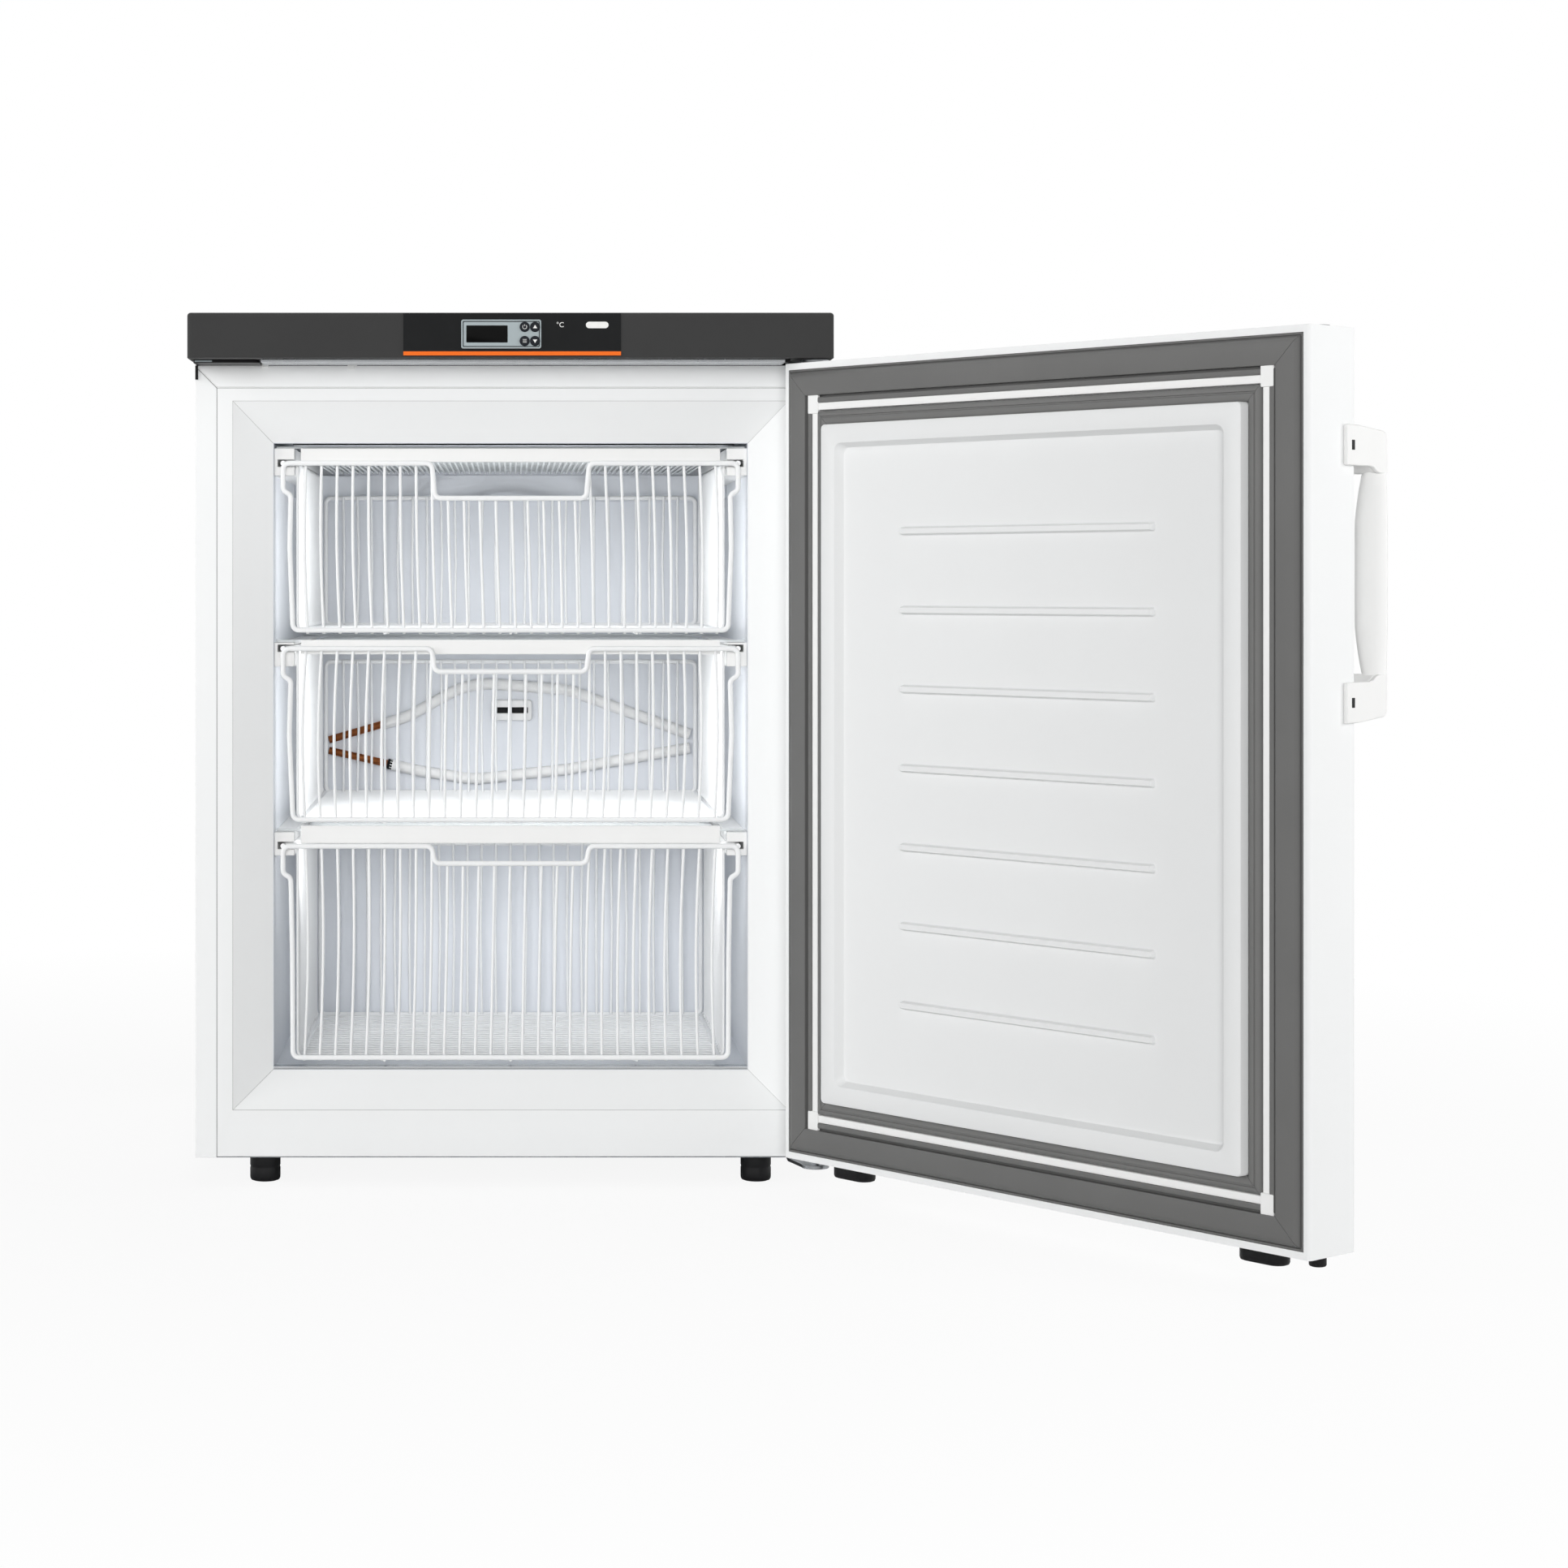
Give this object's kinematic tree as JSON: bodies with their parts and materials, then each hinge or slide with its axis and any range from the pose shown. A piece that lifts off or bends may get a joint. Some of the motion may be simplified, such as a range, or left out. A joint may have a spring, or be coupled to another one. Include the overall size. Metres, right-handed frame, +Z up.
{
  "type": "laboratory upright freezer",
  "caption": "Under-counter laboratory freezer: foamed steel case, hinged gasketed door and handle, sliding wire baskets between evaporator shelves, front controller, feet and rear condenser.",
  "frame": {"origin": "on the floor, under the middle of the case", "axes": "+Z up, the front faces -Y, +X to the right, on the side of the door's hinges; the door is open at rest"},
  "size_m": [1.0103, 1.0507, 0.82],
  "materials": {
    "painted_white_steel": "white powder coat, satin",
    "frame_white": "white moulded bar, semi-gloss",
    "galvanised_steel": "zinc-coated sheet",
    "foam": "rigid polyurethane foam",
    "liner_grey": "light grey moulded liner, semi-gloss",
    "liner_white": "white moulded liner, semi-gloss",
    "aluminium": "satin",
    "cover_grey": "dark grey, lightly textured",
    "overlay_black": "smooth film",
    "stripe_orange": "printed",
    "bezel_silver": "silver grey",
    "key_black": "dark rubberised",
    "window_black": "smoked window",
    "lamp_white": "translucent white",
    "black_plastic": "black moulded",
    "gasket_grey": "dark grey, soft",
    "seal_grey": "light grey, soft",
    "white_plastic": "white moulded",
    "zinc_steel": "bright zinc",
    "brass": "turned",
    "basket_white": "white plastic-coated wire",
    "evaporator_white": "white coated tube and wire",
    "copper": "bare copper, dulled",
    "compressor_black": "black enamel",
    "condenser_black": "black enamel",
    "rubber_black": "black"
  },
  "bodies": {
    "cabinet": {"side_panel_left": "painted_white_steel", "side_panel_right": "painted_white_steel", "top_panel": "painted_white_steel", "base_pan": "galvanised_steel", "rear_panel": "galvanised_steel", "bay_panel": "galvanised_steel", "compressor_deck": "galvanised_steel", "insulation_foam": "foam", "inner_liner": "liner_grey", "front_frame": "frame_white", "sill_strip": "aluminium", "top_cover": "cover_grey", "cover_rail": "aluminium", "control_overlay": "overlay_black", "accent_stripe": "stripe_orange", "controller_bezel": "bezel_silver", "controller_housing": "black_plastic", "display_window": "window_black", "lamp_window": "lamp_white", "upper_hinge_plate": "zinc_steel", "lower_hinge_plate": "zinc_steel", "hinge_pins": "zinc_steel", "hinge_bolts": "zinc_steel", "hinge_cap": "black_plastic", "rear_feet": "black_plastic", "basket_rails": "white_plastic", "evaporator_upper": "evaporator_white", "evaporator_middle": "evaporator_white", "evaporator_lower": "evaporator_white", "shelf_trims": "white_plastic", "refrigerant_link": "copper", "link_sleeves": "white_plastic", "sensor_clip": "white_plastic", "compressor": "compressor_black", "compressor_grommets": "rubber_black", "relay_box": "black_plastic", "condenser": "condenser_black", "cooling_pipes": "copper", "mains_inlet": "black_plastic"},
    "door": {"door_pan": "painted_white_steel", "door_foam": "foam", "door_liner": "liner_white", "outer_gasket": "gasket_grey", "gasket_retainer": "white_plastic", "inner_gasket": "seal_grey", "hinge_bushes": "brass", "door_plug": "black_plastic", "door_stops": "black_plastic", "handle_brackets": "white_plastic", "handle_grip": "white_plastic", "handle_screws": "black_plastic"},
    "upper_basket": {"basket_upper": "basket_white"},
    "middle_basket": {"basket_middle": "basket_white"},
    "lower_basket": {"basket_lower": "basket_white"},
    "set_key": {"key_set": "key_black"},
    "up_key": {"key_up": "key_black"},
    "down_key": {"key_down": "key_black"},
    "power_key": {"key_power": "key_black"},
    "left_front_foot": {"front_foot_left": "black_plastic"},
    "right_front_foot": {"front_foot_right": "black_plastic"}
  },
  "joints": [
    {"name": "door_hinge", "type": "hinge", "parent": "cabinet", "child": "door", "pos_m": [0.285, -0.3065, 0], "axis": [0, 0, 1], "range_deg": [-129, 0]},
    {"name": "upper_basket_slide", "type": "slide", "parent": "cabinet", "child": "upper_basket", "axis": [0, -1, 0], "range_m": [0, 0.3]},
    {"name": "middle_basket_slide", "type": "slide", "parent": "cabinet", "child": "middle_basket", "axis": [0, -1, 0], "range_m": [0, 0.3]},
    {"name": "lower_basket_slide", "type": "slide", "parent": "cabinet", "child": "lower_basket", "axis": [0, -1, 0], "range_m": [0, 0.23]},
    {"name": "set_key_press", "type": "slide", "parent": "cabinet", "child": "set_key", "axis": [0, 1, 0], "range_m": [0, 0.0008], "stiffness_N_per_m": 800},
    {"name": "up_key_press", "type": "slide", "parent": "cabinet", "child": "up_key", "axis": [0, 1, 0], "range_m": [0, 0.0008], "stiffness_N_per_m": 800},
    {"name": "down_key_press", "type": "slide", "parent": "cabinet", "child": "down_key", "axis": [0, 1, 0], "range_m": [0, 0.0008], "stiffness_N_per_m": 800},
    {"name": "power_key_press", "type": "slide", "parent": "cabinet", "child": "power_key", "axis": [0, 1, 0], "range_m": [0, 0.0008], "stiffness_N_per_m": 800},
    {"name": "left_foot_turn", "type": "hinge", "parent": "cabinet", "child": "left_front_foot", "pos_m": [-0.234, -0.246, 0], "axis": [0, 0, 1], "continuous": true},
    {"name": "right_foot_turn", "type": "hinge", "parent": "cabinet", "child": "right_front_foot", "pos_m": [0.234, -0.246, 0], "axis": [0, 0, 1], "continuous": true}
  ]
}
